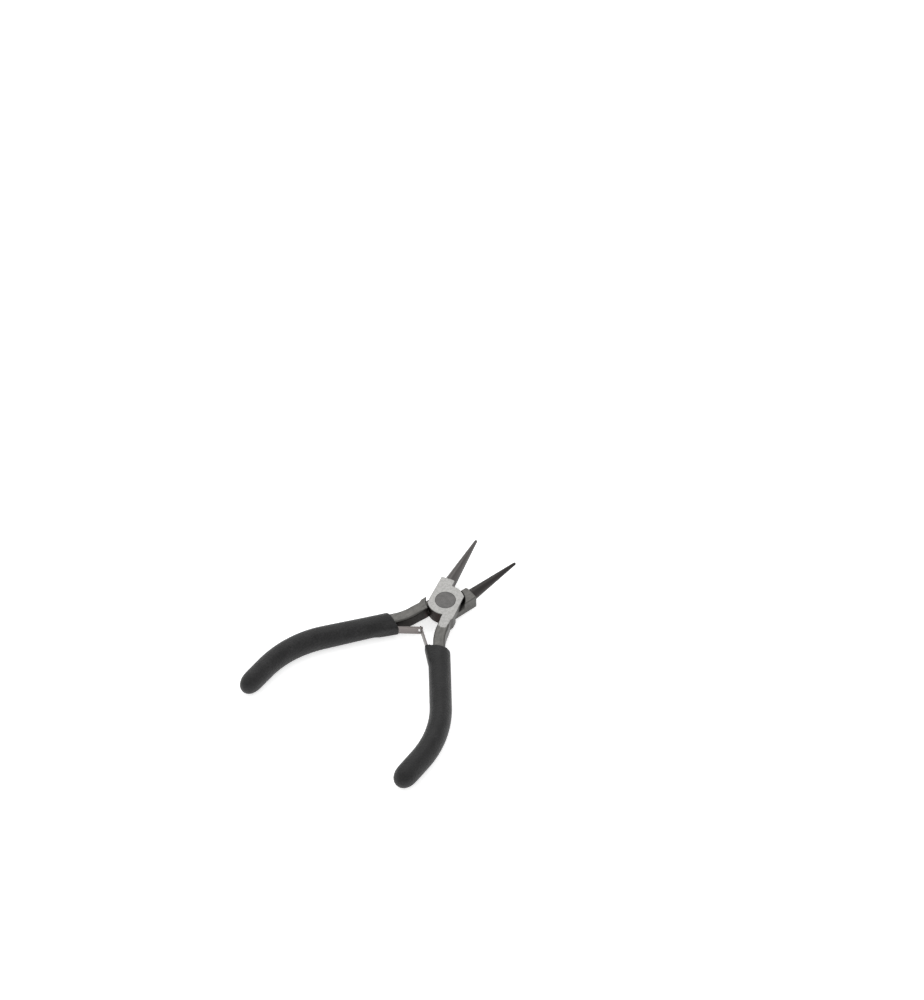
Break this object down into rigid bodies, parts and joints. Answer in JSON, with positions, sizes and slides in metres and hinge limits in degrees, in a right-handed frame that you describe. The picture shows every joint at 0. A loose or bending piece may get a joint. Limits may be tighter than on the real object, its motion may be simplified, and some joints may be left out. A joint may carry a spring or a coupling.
{
  "type": "round nose pliers",
  "caption": "Small pliers with two smooth cone jaws, a flush riveted lap joint, interlocking leaf springs and soft sleeve grips.",
  "frame": {"origin": "pivot axis at the joint's back face", "axes": "+Y along the centreline towards the jaws, +X to the right seen from the front, +Z out of the front face of the joint"},
  "size_m": [0.0828, 0.1122, 0.009],
  "materials": {
    "forged_steel": "forged steel, dark cone jaws, front joint face ground bright",
    "rivet_steel": "turned, fine concentric rings",
    "spring_steel": "rolled strip, light satin",
    "grip_foam": "matt black, fine pebbled skin"
  },
  "bodies": {
    "rear": {"rear_half": "forged_steel", "rear_grip": "grip_foam", "rear_spring_rivet": "rivet_steel", "pivot_rivet": "rivet_steel"},
    "front": {"front_half": "forged_steel", "front_grip": "grip_foam", "front_spring_rivet": "rivet_steel"},
    "front_leaf": {"front_leaf_spring": "spring_steel"},
    "rear_leaf": {"rear_leaf_spring": "spring_steel"}
  },
  "joints": [
    {"name": "jaw_pivot", "type": "hinge", "parent": "rear", "child": "front", "pos_m": [0, 0, 0.0031], "axis": [0, 0, 1], "range_deg": [-30, 6], "stiffness_Nm_per_rad": 0.2},
    {"name": "front_leaf_flex", "type": "hinge", "parent": "front", "child": "front_leaf", "pos_m": [0.00741, -0.02136, 0.0031], "axis": [0, 0, 1], "range_deg": [-32, 7], "deforming": ["front_leaf_spring"]},
    {"name": "rear_leaf_flex", "type": "hinge", "parent": "rear", "child": "rear_leaf", "pos_m": [-0.00797, -0.02095, 0.0031], "axis": [0, 0, 1], "range_deg": [-6, 29], "deforming": ["rear_leaf_spring"]}
  ],
  "couplings": [
    {"joint": "front_leaf_flex", "follows": "jaw_pivot", "ratio": 1.04},
    {"joint": "rear_leaf_flex", "follows": "jaw_pivot", "ratio": -0.96}
  ]
}
